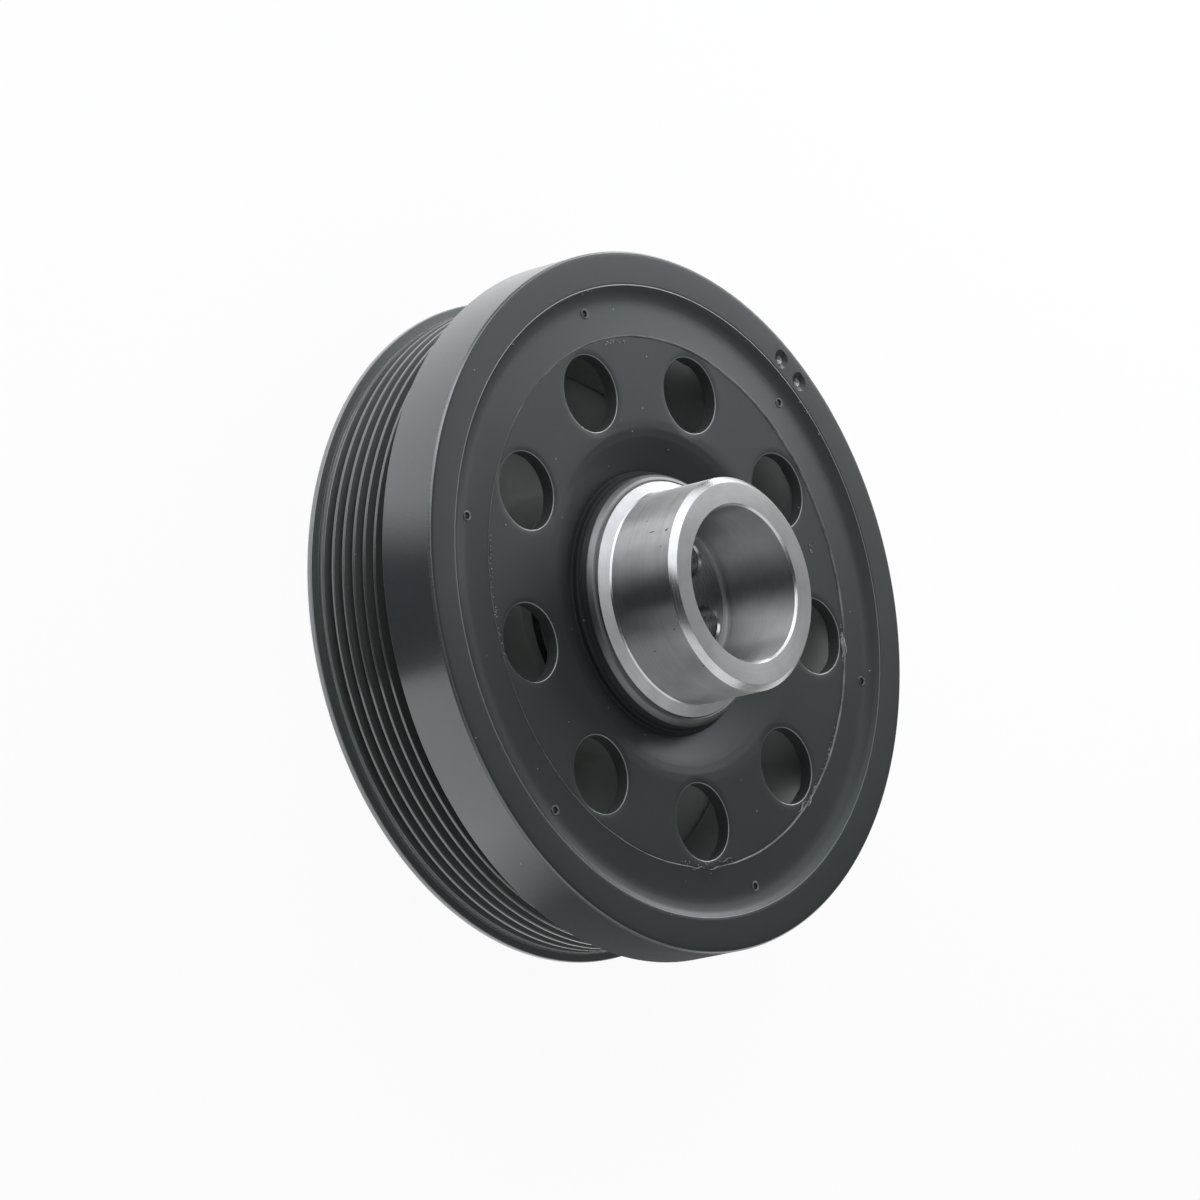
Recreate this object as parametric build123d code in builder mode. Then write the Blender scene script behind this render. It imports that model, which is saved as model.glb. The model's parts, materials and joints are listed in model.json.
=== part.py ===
# Crankshaft damper with a belt pulley, nose up, standing on the belt-side rim.
# Millimetres, Z along the shaft axis, origin at the middle of the rim it stands on.
import os

from build123d import *
from math import radians, tan

os.makedirs("parts", exist_ok=True)

# Overall
ring_gap = 3.8           # between the pulley's front and the inertia ring's back
nose_len = 23.5          # nose beyond the ring's front face

# Hub
nose_d = 55.0            # seal surface
nose_chamfer = 1.6
bore_d = 40.0            # crank bore
bore_chamfer = 0.55
bore_depth = 22.0        # nose face to clamp face
relief_w = 2.8           # grinding relief round the bottom of the bore
relief_depth = 1.6
relief_rise = 0.6        # how far the relief runs up the bore wall
relief_cut = 0.4         # and how far into it
clamp_t = 12.0
bolt_n = 4
bolt_pcd = 23.6
bolt_hole_d = 8.5
bolt_turn = 58.4         # degrees, where the first bolt hole lies
flange_d = 65.2          # the disc is pressed on to this
flange_rise = 0.3        # flange's rim above the front face
flange_land = 2.2        # flange's rim round the cone's foot
cone_h = 1.7
nose_foot = 2.8          # foot of the nose cylinder above the front face
boss_d = 54.0
boss_end = 6.0           # boss end above the rear rim
socket_d = 38.0          # room for the bolt heads and a socket
seat_w = 3.4             # shoulder the disc is pressed against
seat_t = 3.2
seat_taper = 7.0

# Pressed disc
disc_t = 3.6
web_drop = 1.2           # web below the front face
dish_drop = 6.2          # bottom of the dish below the front face
dish_floor_w = 2.6       # flat foot of the dish, outside the collar
dish_slope_w = 9.0       # slope from there up to the web
collar_drop = 3.0        # top of the collar below the front face
collar_t = 1.1
rim_d = 142.0
rim_rise = 1.5           # end of the disc's rim above the pulley's web
bend_r = 3.0
bend_in_r = 0.6
hole_n = 9
hole_in = 14.15          # hole centres inside the rim
hole_d = 20.0
hole_round = 0.5

# Inertia ring
band_t = 13.5            # ring's wall from its bore to the band
band_w = 16.5
band_chamfer = 1.1
damper_gap = 6.0         # rubber between the disc's rim and the ring
front_land_w = 8.5       # band's front land, outside the recess for the rubber skin
recess_depth = 3.6
balance_d = 5.0
balance_angle = 118.0    # drill point
balance_in = 5.1         # drillings inside the band
balance_turns = (47.8, 42.2)

# Damper rubber
skin_lap = 2.8           # front skin's lap over the disc's rim
skin_edge = 0.5
skin_sag = 2.3           # lowest part of the skin below the front face
bead_w = 1.2
bead_drop = 0.25
damper_end = 1.5         # rubber's end short of the ring's rear face
end_hollow = 0.9         # hollow of a free rubber end
pin_n = 6
pin_in = 1.0             # pin marks inside the ring's bore
pin_turn = 43.1
pin_d = 1.9
pin_depth = 0.8

# Belt pulley
pulley_t = 7.7           # wall from the pulley's bore to its crests
lip_rise = 2.1           # rear lip above the crests
lip_w = 1.9
lip_slope = 0.55
lip_round = 1.0
groove_n = 6
groove_pitch = 3.56
groove_angle = 40.0
groove_depth = 2.9
groove_floor_w = 0.62
groove_round = 0.25
first_groove = 5.54      # rearmost groove above the rear rim
last_land = 2.86         # from the front groove to the pulley's front
isolator_gap = 5.5       # rubber between the disc's rim and the pulley
isolator_rise = 3.5      # its rear end above the web
isolator_in = 1.7        # its front end inside the pulley's front
web_t = 4.0
web_rise = 3.0           # web's rear face above the rear rim
rear_land = 2.0          # width of the rim it stands on, beyond the bore
tube_t = 4.0             # pulley's tube round the bush
bush_t = 2.5
bush_rise = 1.5          # its rear end above the boss's
bush_in = 2.2            # its front end inside the pulley's front

# Radii that follow
nose_r = nose_d / 2
relief_r = bore_d / 2 + relief_cut
flange_r = flange_d / 2
cone_r = flange_r - flange_land
boss_r = boss_d / 2
bush_r = boss_r + bush_t
dish_r = flange_r + collar_t + dish_floor_w
dish_out_r = dish_r + dish_slope_w
rim_r = rim_d / 2
skin_r = rim_r - skin_lap
ring_bore_r = rim_r + damper_gap
band_r = ring_bore_r + band_t
recess_r = band_r - front_land_w
pulley_bore_r = rim_r + isolator_gap
crest_r = pulley_bore_r + pulley_t
lip_r = crest_r + lip_rise

# Heights that follow
web_top = web_rise + web_t
rim_end = web_top + rim_rise
isolator_start = web_top + isolator_rise
pulley_w = first_groove + (groove_n - 1) * groove_pitch + last_land
isolator_end = pulley_w - isolator_in
bush_start = boss_end + bush_rise
bush_end = pulley_w - bush_in
face_h = pulley_w + ring_gap + band_w
nose_z = face_h + nose_len
clamp_z = nose_z - bore_depth
web_z = face_h - web_drop
disc_foot = face_h - dish_drop - disc_t
ring_back = face_h - band_w
groove_w = groove_floor_w + 2 * groove_depth * tan(radians(groove_angle / 2))


# Hub, turned all over from one forging
with BuildPart() as hub:
    with BuildSketch(Plane.XZ) as section:
        with BuildLine():
            Polyline(
                (0, clamp_z - clamp_t),
                (socket_d / 2, clamp_z - clamp_t),
                (socket_d / 2, boss_end),
                (boss_r, boss_end),
                (boss_r, disc_foot - seat_t - seat_taper),
                (flange_r + seat_w, disc_foot - seat_t),
                (flange_r + seat_w, disc_foot),
                (flange_r, disc_foot),
                (flange_r, face_h + flange_rise),
                (cone_r, face_h + flange_rise),
                (cone_r, face_h + nose_foot - cone_h),
                (nose_r, face_h + nose_foot),
                (nose_r, nose_z),
                (bore_d / 2, nose_z),
                (bore_d / 2, clamp_z + relief_rise),
                (relief_r, clamp_z + relief_rise - relief_cut),
                (relief_r, clamp_z - relief_depth),
                (bore_d / 2 - relief_w, clamp_z - relief_depth),
                (bore_d / 2 - relief_w, clamp_z),
                (0, clamp_z),
                close=True,
            )
        make_face()
        bore_tip, nose_tip = section.vertices().group_by(Axis.Y)[-1].sort_by(Axis.X)
        chamfer(nose_tip, nose_chamfer)
        chamfer(bore_tip, bore_chamfer)
        boss_tip = section.vertices().group_by(Axis.Y)[0]
        chamfer(boss_tip, 1.0)
        flange_top = section.vertices().sort_by_distance((flange_r, face_h + flange_rise))[0]
        chamfer(flange_top, 0.5)
        relief = section.vertices().sort_by_distance((relief_r, clamp_z - relief_depth))[0]
        fillet(relief, 0.6)
        foot = section.vertices().sort_by_distance((nose_r, face_h + nose_foot))[0]
        fillet(foot, 0.5)
    revolve(axis=Axis.Z)
    with BuildSketch(Plane.XY.offset(clamp_z)):
        with PolarLocations(bolt_pcd / 2, bolt_n, start_angle=bolt_turn):
            Circle(bolt_hole_d / 2)
    extrude(amount=-clamp_t, mode=Mode.SUBTRACT)
    bolt_mouths = (
        hub.edges()
        .filter_by(GeomType.CIRCLE)
        .filter_by(lambda e: abs(e.radius - bolt_hole_d / 2) < 0.01)
    )
    chamfer(bolt_mouths, 0.5)
hub.part.label = "Turned steel hub"
export_step(hub.part, "parts/hub.step")

# Pressed disc, drawn up round the flange and turned down at the rim
with BuildPart() as disc:
    with BuildSketch(Plane.XZ):
        with BuildLine():
            FilletPolyline(
                (flange_r, face_h - collar_drop),
                (flange_r + collar_t, face_h - collar_drop),
                (flange_r + collar_t, face_h - dish_drop),
                (dish_r, face_h - dish_drop),
                (dish_out_r, web_z),
                (rim_r, web_z),
                (rim_r, rim_end),
                (rim_r - disc_t, rim_end),
                (rim_r - disc_t, web_z - disc_t),
                (dish_out_r, web_z - disc_t),
                (dish_r, disc_foot),
                (flange_r, disc_foot),
                radius=(0.5, 1.1, 5.0, 9.0, bend_r, 0.4, 0.4, bend_in_r, 6.0, 8.0),
            )
            Line((flange_r, disc_foot), (flange_r, face_h - collar_drop))
        make_face()
    revolve(axis=Axis.Z)
    with BuildSketch(Plane.XY.offset(web_z)):
        with PolarLocations(rim_r - hole_in, hole_n, start_angle=-90):
            Circle(hole_d / 2)
    extrude(amount=-1.5 * disc_t, mode=Mode.SUBTRACT)
    hole_mouths = (
        disc.edges()
        .filter_by(GeomType.CIRCLE)
        .filter_by(lambda e: abs(e.radius - hole_d / 2) < 0.01)
        .group_by(Axis.Z)[-1]
    )
    fillet(hole_mouths, hole_round)
disc.part.label = "Pressed hub disc"
export_step(disc.part, "parts/hub_disc.step")

# Inertia ring
with BuildPart() as ring:
    with BuildSketch(Plane.XZ) as section:
        with BuildLine():
            Polyline(
                (ring_bore_r, ring_back),
                (band_r, ring_back),
                (band_r, face_h),
                (recess_r, face_h),
                (recess_r, face_h - recess_depth),
                (ring_bore_r, face_h - recess_depth),
                close=True,
            )
        make_face()
        chamfer(section.vertices().sort_by_distance((band_r, face_h))[0], band_chamfer)
        chamfer(section.vertices().sort_by_distance((band_r, ring_back))[0], 0.4)
    revolve(axis=Axis.Z)
    with BuildSketch(Plane.XZ):
        with BuildLine():
            Polyline(
                (0, face_h),
                (balance_d / 2, face_h),
                (0, face_h - balance_d / 2 / tan(radians(balance_angle / 2))),
                close=True,
            )
        make_face()
    balance_point = revolve(axis=Axis.Z, mode=Mode.PRIVATE)
    for turn in balance_turns:
        with PolarLocations(band_r - balance_in, 1, start_angle=turn):
            add(balance_point, mode=Mode.SUBTRACT)
ring.part.label = "Inertia ring"
export_step(ring.part, "parts/inertia_ring.step")

# Damper rubber, moulded between the rim and the ring, with a skin over the front
with BuildPart() as damper:
    with BuildSketch(Plane.XZ) as section:
        with BuildLine():
            Polyline(
                (rim_r - disc_t / 2, ring_back + damper_end),
                (rim_r - disc_t / 2, web_z - disc_t / 2),
                (skin_r, web_z - disc_t / 2),
                (skin_r, web_z + skin_edge),
                (recess_r - bead_w - 2.2, face_h - skin_sag),
                (recess_r - bead_w, face_h - bead_drop),
                (recess_r, face_h - bead_drop),
                (recess_r, face_h - recess_depth),
                (ring_bore_r, face_h - recess_depth),
                (ring_bore_r, ring_back + damper_end),
            )
            ThreePointArc(
                (ring_bore_r, ring_back + damper_end),
                (rim_r + damper_gap / 2, ring_back + damper_end + end_hollow),
                (rim_r - disc_t / 2, ring_back + damper_end),
            )
        make_face()
        fillet(section.vertices().sort_by_distance((skin_r, web_z + skin_edge))[0], 0.3)
        fillet(
            section.vertices().sort_by_distance((recess_r - bead_w - 2.2, face_h - skin_sag))[0],
            2.4,
        )
        fillet(section.vertices().sort_by_distance((recess_r - bead_w, face_h - bead_drop))[0], 0.5)
    revolve(axis=Axis.Z)
    add(disc.part, mode=Mode.SUBTRACT)
    with BuildSketch(Plane.XY.offset(face_h)):
        with PolarLocations(ring_bore_r - pin_in, pin_n, start_angle=pin_turn):
            Circle(pin_d / 2)
    extrude(amount=-skin_sag - pin_depth, mode=Mode.SUBTRACT)
damper.part.label = "Damper rubber"
export_step(damper.part, "parts/damper_rubber.step")

# Belt pulley with its web, which closes the back and turns up into a tube round the bush
with BuildPart() as pulley:
    with BuildSketch(Plane.XZ) as section:
        with BuildLine():
            Polyline(
                (pulley_bore_r + rear_land, 0),
                (lip_r, 0),
                (lip_r, lip_w),
                (crest_r, lip_w + lip_slope),
                (crest_r, pulley_w),
                (pulley_bore_r, pulley_w),
                (pulley_bore_r, web_top),
                (bush_r + tube_t, web_top),
                (bush_r + tube_t, bush_end),
                (bush_r, bush_end),
                (bush_r, web_rise),
                (pulley_bore_r - 1.0, web_rise),
                close=True,
            )
        make_face()
        chamfer(section.vertices().sort_by_distance((crest_r, pulley_w))[0], 0.4)
        fillet(section.vertices().sort_by_distance((lip_r, 0))[0], lip_round)
        fillet(section.vertices().sort_by_distance((lip_r, lip_w))[0], 0.3)
        fillet(section.vertices().sort_by_distance((pulley_bore_r, web_top))[0], 1.2)
        fillet(section.vertices().sort_by_distance((bush_r + tube_t, web_top))[0], 3.0)
        fillet(section.vertices().sort_by_distance((bush_r, web_rise))[0], 0.8)
        with Locations([(crest_r, first_groove + i * groove_pitch) for i in range(groove_n)]):
            Polygon(
                (0, -groove_w / 2),
                (0, groove_w / 2),
                (-groove_depth, groove_floor_w / 2),
                (-groove_depth, -groove_floor_w / 2),
                align=None,
                mode=Mode.SUBTRACT,
            )
        lands = section.vertices().filter_by_position(Axis.X, crest_r - 0.01, crest_r + 0.01)
        fillet(lands.sort_by(Axis.Y)[1 : 2 * groove_n + 1], groove_round)
    revolve(axis=Axis.Z)
pulley.part.label = "Belt pulley"
export_step(pulley.part, "parts/belt_pulley.step")

# Isolator rubber, bonded to the disc's rim and the pulley's bore
with BuildPart() as isolator:
    with BuildSketch(Plane.XZ):
        with BuildLine():
            Line((rim_r, isolator_start), (rim_r, isolator_end))
            ThreePointArc(
                (rim_r, isolator_end),
                (rim_r + isolator_gap / 2, isolator_end - end_hollow),
                (pulley_bore_r, isolator_end),
            )
            Line((pulley_bore_r, isolator_end), (pulley_bore_r, isolator_start))
            ThreePointArc(
                (pulley_bore_r, isolator_start),
                (rim_r + isolator_gap / 2, isolator_start + end_hollow),
                (rim_r, isolator_start),
            )
        make_face()
    revolve(axis=Axis.Z)
isolator.part.label = "Isolator rubber"
export_step(isolator.part, "parts/isolator_rubber.step")

# Plain bush between the hub's boss and the pulley's tube
with BuildPart() as bush:
    with BuildSketch(Plane.XY.offset(bush_start)):
        Circle(bush_r)
        Circle(boss_r, mode=Mode.SUBTRACT)
    extrude(amount=bush_end - bush_start)
bush.part.label = "Plain bush"
export_step(bush.part, "parts/pulley_bush.step")
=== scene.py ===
import json
import random
from math import atan2, ceil, cos, hypot, pi, radians, sin, tan

import bmesh
import bpy
from mathutils import Matrix, Vector, noise


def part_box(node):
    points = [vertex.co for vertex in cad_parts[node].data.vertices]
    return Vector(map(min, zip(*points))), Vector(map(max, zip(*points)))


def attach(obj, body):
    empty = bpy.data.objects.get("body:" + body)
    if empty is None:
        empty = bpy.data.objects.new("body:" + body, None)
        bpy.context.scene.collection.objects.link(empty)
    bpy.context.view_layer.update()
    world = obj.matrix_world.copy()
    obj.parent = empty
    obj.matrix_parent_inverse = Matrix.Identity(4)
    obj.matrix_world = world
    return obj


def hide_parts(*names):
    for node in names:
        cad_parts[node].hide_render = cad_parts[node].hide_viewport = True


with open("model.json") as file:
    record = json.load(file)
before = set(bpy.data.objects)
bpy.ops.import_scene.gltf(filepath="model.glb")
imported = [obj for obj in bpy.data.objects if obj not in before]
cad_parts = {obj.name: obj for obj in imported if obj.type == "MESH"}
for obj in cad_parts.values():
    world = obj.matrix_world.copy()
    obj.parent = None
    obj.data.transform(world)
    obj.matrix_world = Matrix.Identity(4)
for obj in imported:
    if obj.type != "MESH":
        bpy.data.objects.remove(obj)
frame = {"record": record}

bl_info = {
    "name": "Harmonic balancer",
    "version": (1, 0, 0),
    "blender": (4, 5, 0),
    "location": "3D View > Sidebar > Balancer",
    "description": "Builds a crankshaft damper with its belt pulley, and the stage it is shown on",
    "category": "Object",
}

MM = 0.001
PART_BODY = "root"

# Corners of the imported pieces, which give the sizes that the dressed pieces must keep
HUB_LOW, HUB_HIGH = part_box("hub")
DISC_LOW, DISC_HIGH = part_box("hub_disc")
RING_LOW, RING_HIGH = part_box("inertia_ring")
RUBBER_LOW, RUBBER_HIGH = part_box("damper_rubber")
PULLEY_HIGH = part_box("belt_pulley")[1]
ISOLATOR_LOW, ISOLATOR_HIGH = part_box("isolator_rubber")
BUSH_LOW, BUSH_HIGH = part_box("pulley_bush")
MOUNTS = {mount["name"]: mount for mount in frame["record"]["mounts"]}

# Heights of the ring's front face and of the web, and the sizes that more than one piece goes by
FACE_Z = RING_HIGH[2]
WEB_Z = DISC_HIGH[2]
DISC_T = 3.6 * MM
RECESS_DEPTH = 3.6 * MM
BOSS_RADIUS = 27.0 * MM

# Vertices closer than this are one, and an edge that turns by more than this stays sharp
WELD = 2e-6
SHARP = radians(28)
# Room for rounding where a turn's angles are compared
ANGLE_SLACK = 1e-4

# Where the photograph was taken from
CAMERA_PLACE = Vector((-1.32919, -0.18626, 1.15005))
CAMERA_RIGHT = Vector((0.652295, -0.141858, 0.744572))
CAMERA_UP = Vector((0.010304, 0.983899, 0.178428))
CAMERA_LENS = 205.49


def linear(hex_colour):
    """Linear RGBA of an sRGB hex colour."""
    channels = [int(hex_colour[i : i + 2], 16) / 255 for i in (1, 3, 5)]
    return tuple(c / 12.92 if c <= 0.04045 else ((c + 0.055) / 1.055) ** 2.4 for c in channels) + (1.0,)


def toned(colour, share):
    """A linear colour made darker or lighter by a share."""
    return tuple(c * share for c in colour[:3])


class HubSizes(bpy.types.PropertyGroup):
    nose_radius: bpy.props.FloatProperty(
        name="Nose radius",
        description="Radius of the bright cylinder that the oil seal runs on",
        default=MOUNTS["seal_nose"]["dims"]["r_mm"] * MM,
        unit="LENGTH",
        precision=4,
    )
    bore_radius: bpy.props.FloatProperty(
        name="Bore radius",
        description="Radius of the bore that takes the crankshaft's nose",
        default=MOUNTS["crank_bore"]["dims"]["r_mm"] * MM,
        unit="LENGTH",
        precision=4,
    )
    nose_chamfer: bpy.props.FloatProperty(
        name="Nose chamfer",
        description="Width of the chamfer round the nose's end",
        default=1.6 * MM,
        unit="LENGTH",
        precision=4,
    )
    bore_chamfer: bpy.props.FloatProperty(
        name="Bore chamfer",
        description="Width of the chamfer round the bore's mouth",
        default=0.55 * MM,
        unit="LENGTH",
        precision=4,
    )
    bore_depth: bpy.props.FloatProperty(
        name="Bore depth",
        description="From the nose's end to the face that is clamped to the crankshaft",
        default=22.0 * MM,
        unit="LENGTH",
        precision=4,
    )
    flange_radius: bpy.props.FloatProperty(
        name="Flange radius",
        description="Radius of the dull rim that the disc is pressed on to",
        default=32.6 * MM,
        unit="LENGTH",
        precision=4,
    )


class DiscSizes(bpy.types.PropertyGroup):
    hole_count: bpy.props.IntProperty(
        name="Holes",
        description="Number of round holes in the web",
        default=9,
        min=3,
        max=12,
    )
    hole_radius: bpy.props.FloatProperty(
        name="Hole radius",
        description="Radius of the round holes in the web",
        default=10.0 * MM,
        unit="LENGTH",
        precision=4,
    )
    hole_circle: bpy.props.FloatProperty(
        name="Hole circle",
        description="Radius of the circle that the holes' middles lie on",
        default=56.85 * MM,
        unit="LENGTH",
        precision=4,
    )
    dish_depth: bpy.props.FloatProperty(
        name="Dish depth",
        description="How far the foot of the dish lies below the front face",
        default=6.2 * MM,
        unit="LENGTH",
        precision=4,
    )


class RingSizes(bpy.types.PropertyGroup):
    bore_radius: bpy.props.FloatProperty(
        name="Ring bore radius",
        description="Radius of the bore that the damper rubber is bonded to",
        default=77.0 * MM,
        unit="LENGTH",
        precision=4,
    )
    recess_radius: bpy.props.FloatProperty(
        name="Recess radius",
        description="Radius of the front recess that takes the rubber's skin",
        default=RUBBER_HIGH[0],
        unit="LENGTH",
        precision=4,
    )
    band_chamfer: bpy.props.FloatProperty(
        name="Band chamfer",
        description="Width of the chamfer at the band's front edge",
        default=0.5 * MM,
        unit="LENGTH",
        precision=4,
    )
    drill_radius: bpy.props.FloatProperty(
        name="Balance drilling radius",
        description="Radius of the conical drillings that balance the ring",
        default=2.5 * MM,
        unit="LENGTH",
        precision=4,
    )


class RubberSizes(bpy.types.PropertyGroup):
    skin_radius: bpy.props.FloatProperty(
        name="Skin edge radius",
        description="Radius at which the rubber's front skin ends on the web",
        default=68.2 * MM,
        unit="LENGTH",
        precision=4,
    )
    skin_sag: bpy.props.FloatProperty(
        name="Skin sag",
        description="Lowest part of the skin below the front face",
        default=1.7 * MM,
        unit="LENGTH",
        precision=4,
    )
    pin_radius: bpy.props.FloatProperty(
        name="Pin mark radius",
        description="Radius of the small round marks left by the mould's pins",
        default=0.95 * MM,
        unit="LENGTH",
        precision=4,
    )
    ragged: bpy.props.FloatProperty(
        name="Raggedness",
        description="How far the skin's torn edge wanders",
        default=0.16 * MM,
        unit="LENGTH",
        precision=4,
    )


class PulleySizes(bpy.types.PropertyGroup):
    groove_count: bpy.props.IntProperty(
        name="Grooves",
        description="Number of belt grooves",
        default=6,
        min=1,
        max=6,
    )
    groove_pitch: bpy.props.FloatProperty(
        name="Groove pitch",
        description="Distance from one groove to the next",
        default=3.56 * MM,
        unit="LENGTH",
        precision=5,
    )
    groove_depth: bpy.props.FloatProperty(
        name="Groove depth",
        description="Depth of the grooves below their crests",
        default=2.9 * MM,
        unit="LENGTH",
        precision=4,
    )
    groove_angle: bpy.props.FloatProperty(
        name="Groove angle",
        description="Angle between a groove's two flanks",
        default=radians(40),
        subtype="ANGLE",
    )


class FinishColours(bpy.types.PropertyGroup):
    paint: bpy.props.FloatVectorProperty(
        name="Paint",
        description="Colour of the sprayed black paint",
        default=linear("#292D2B")[:3],
        subtype="COLOR",
        min=0,
        max=1,
    )
    steel: bpy.props.FloatVectorProperty(
        name="Turned steel",
        description="Colour of the bare turned steel",
        default=linear("#C9CACB")[:3],
        subtype="COLOR",
        min=0,
        max=1,
    )
    floor: bpy.props.FloatVectorProperty(
        name="Floor",
        description="Colour of the studio floor",
        default=linear("#F4F4F4")[:3],
        subtype="COLOR",
        min=0,
        max=1,
    )


def rounded(corners):
    """Points (radius, height, finish) of an outline whose corners are (radius, height, rounding, finish).

    A finish holds from its corner to the next; a pair gives the rounding's own finish first."""
    points = []
    for i, (r, z, rounding, finish) in enumerate(corners):
        here = Vector((r, z))
        arc_finish, after_finish = finish if isinstance(finish, tuple) else (finish, finish)
        if rounding == 0 or i in (0, len(corners) - 1):
            points.append((r, z, after_finish))
            continue
        before = (Vector(corners[i - 1][:2]) - here).normalized()
        after = (Vector(corners[i + 1][:2]) - here).normalized()
        half = before.angle(after) / 2
        reach = rounding / tan(half)
        middle = here + (before + after).normalized() * rounding / sin(half)
        start = here + before * reach - middle
        turn_by = start.angle_signed(here + after * reach - middle)
        steps = max(2, ceil(abs(turn_by) / radians(9)))
        for k in range(steps + 1):
            spot = start.copy()
            spot.rotate(Matrix.Rotation(-turn_by * k / steps, 2))
            points.append((middle.x + spot.x, middle.y + spot.y, after_finish if k == steps else arc_finish))
    return points


def height_at(outline, radius):
    """Height of an outline, whose radii only grow, at a radius."""
    for (r0, z0, _), (r1, z1, _) in zip(outline, outline[1:]):
        if r0 <= radius <= r1 and r1 > r0:
            return z0 + (z1 - z0) * (radius - r0) / (r1 - r0)
    raise ValueError("radius outside the outline")


def even_angles(start, count):
    """Angles of a full turn in equal steps."""
    return [start + 2 * pi * i / count for i in range(count)]


def angles_with_sectors(middles, half_width, sector_steps, step):
    """Angles of a full turn in which each named sector is divided in equal steps."""
    middles = sorted(middles)
    angles = []
    for i, middle in enumerate(middles):
        following = middles[i + 1] if i + 1 < len(middles) else middles[0] + 2 * pi
        for k in range(sector_steps):
            angles.append(middle - half_width + 2 * half_width * k / sector_steps)
        gap = following - middle - 2 * half_width
        if gap > 1e-9:
            gap_steps = max(1, ceil(gap / step))
            for k in range(gap_steps):
                angles.append(middle + half_width + gap * k / gap_steps)
    return angles


def turn_outline(mesh, outline, angles, closed=False, skip=None):
    """Turns an outline round the axis, leaving out the faces that start at an angle for which skip is true."""
    columns = []
    for angle in angles:
        columns.append([mesh.verts.new((r * cos(angle), r * sin(angle), z)) for r, z, _ in outline])
    last = len(outline) if closed else len(outline) - 1
    for i, angle in enumerate(angles):
        if skip and skip(angle):
            continue
        here = columns[i]
        there = columns[(i + 1) % len(angles)]
        for j in range(last):
            k = (j + 1) % len(outline)
            if (here[j].co - here[k].co).length < 1e-8:
                continue
            face = mesh.faces.new((here[j], there[j], there[k], here[k]))
            face.material_index = outline[j][2]


def holed_sector(mesh, middle, half_width, steps, radii, side_steps, hole, height, finish, rings=10):
    """One sector of a flat or dished face round a hole, which is (radius, distance from the axis).

    Returns the ring of vertices at the hole's edge."""
    inner, outer = radii
    hole_radius, hole_place = hole
    edge = []
    for k in range(steps):
        edge.append((outer, middle - half_width + 2 * half_width * k / steps))
    for k in range(side_steps):
        edge.append((outer + (inner - outer) * k / side_steps, middle + half_width))
    for k in range(steps):
        edge.append((inner, middle + half_width - 2 * half_width * k / steps))
    for k in range(side_steps):
        edge.append((inner + (outer - inner) * k / side_steps, middle - half_width))
    centre = Vector((hole_place * cos(middle), hole_place * sin(middle)))
    loops = []
    for s in range(rings + 1):
        share = s / rings
        loop = []
        for r, angle in edge:
            far = Vector((r * cos(angle), r * sin(angle)))
            near = centre + (far - centre).normalized() * hole_radius
            spot = far.lerp(near, share)
            loop.append(mesh.verts.new((spot.x, spot.y, height(min(max(spot.length, inner), outer)))))
        loops.append(loop)
    for outside, inside in zip(loops, loops[1:]):
        for i in range(len(edge)):
            k = (i + 1) % len(edge)
            face = mesh.faces.new((outside[i], outside[k], inside[k], inside[i]))
            face.material_index = finish
    return loops[-1], centre


def sink_hole(mesh, ring, centre, steps, finishes):
    """Carries a hole's edge through steps of (radius, drop below the edge), each band with its own finish."""
    rings = [ring]
    for radius, drop in steps:
        loop = []
        for vertex in ring:
            out = (vertex.co.xy - centre).normalized() * radius
            loop.append(mesh.verts.new((centre.x + out.x, centre.y + out.y, vertex.co.z - drop)))
        rings.append(loop)
    for level, (above, below) in enumerate(zip(rings, rings[1:])):
        for i in range(len(ring)):
            k = (i + 1) % len(ring)
            face = mesh.faces.new((above[i], above[k], below[k], below[i]))
            face.material_index = finishes[level]
    return rings[-1]


def close_ring(mesh, ring, finish):
    """Closes a ring of vertices with a fan round its middle."""
    middle = Vector((0, 0, 0))
    for vertex in ring:
        middle += vertex.co
    point = mesh.verts.new(middle / len(ring))
    for i in range(len(ring)):
        face = mesh.faces.new((ring[i], ring[(i + 1) % len(ring)], point))
        face.material_index = finish


def finish_piece(mesh, name, materials, nodes):
    """Makes the object of a bmesh, joined and smooth with sharp corners, which rides on the part."""
    bmesh.ops.remove_doubles(mesh, verts=mesh.verts, dist=WELD)
    bmesh.ops.recalc_face_normals(mesh, faces=mesh.faces)
    for face in mesh.faces:
        face.smooth = True
    for edge in mesh.edges:
        if len(edge.link_faces) == 2 and edge.calc_face_angle() > SHARP:
            edge.smooth = False
    data = bpy.data.meshes.new(name)
    mesh.to_mesh(data)
    mesh.free()
    piece = bpy.data.objects.new(name, data)
    bpy.context.scene.collection.objects.link(piece)
    for material in materials:
        data.materials.append(material)
    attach(piece, PART_BODY)
    if nodes:
        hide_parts(*nodes)
    return piece


def add_node(tree, kind, inputs=None, **settings):
    """Adds a node, sets its properties, and fills or links its inputs."""
    made = tree.nodes.new(kind)
    for name, value in settings.items():
        setattr(made, name, value)
    for socket, value in (inputs or {}).items():
        if isinstance(value, bpy.types.NodeSocket):
            tree.links.new(value, made.inputs[socket])
        else:
            made.inputs[socket].default_value = value
    return made


def start_material(name):
    """An empty node material and its tree."""
    material = bpy.data.materials.new(name)
    material.use_nodes = True
    material.node_tree.nodes.clear()
    return material, material.node_tree


def end_material(tree, shader):
    """Links the last shader to the material's output."""
    add_node(tree, "ShaderNodeOutputMaterial", {"Surface": shader})


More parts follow.
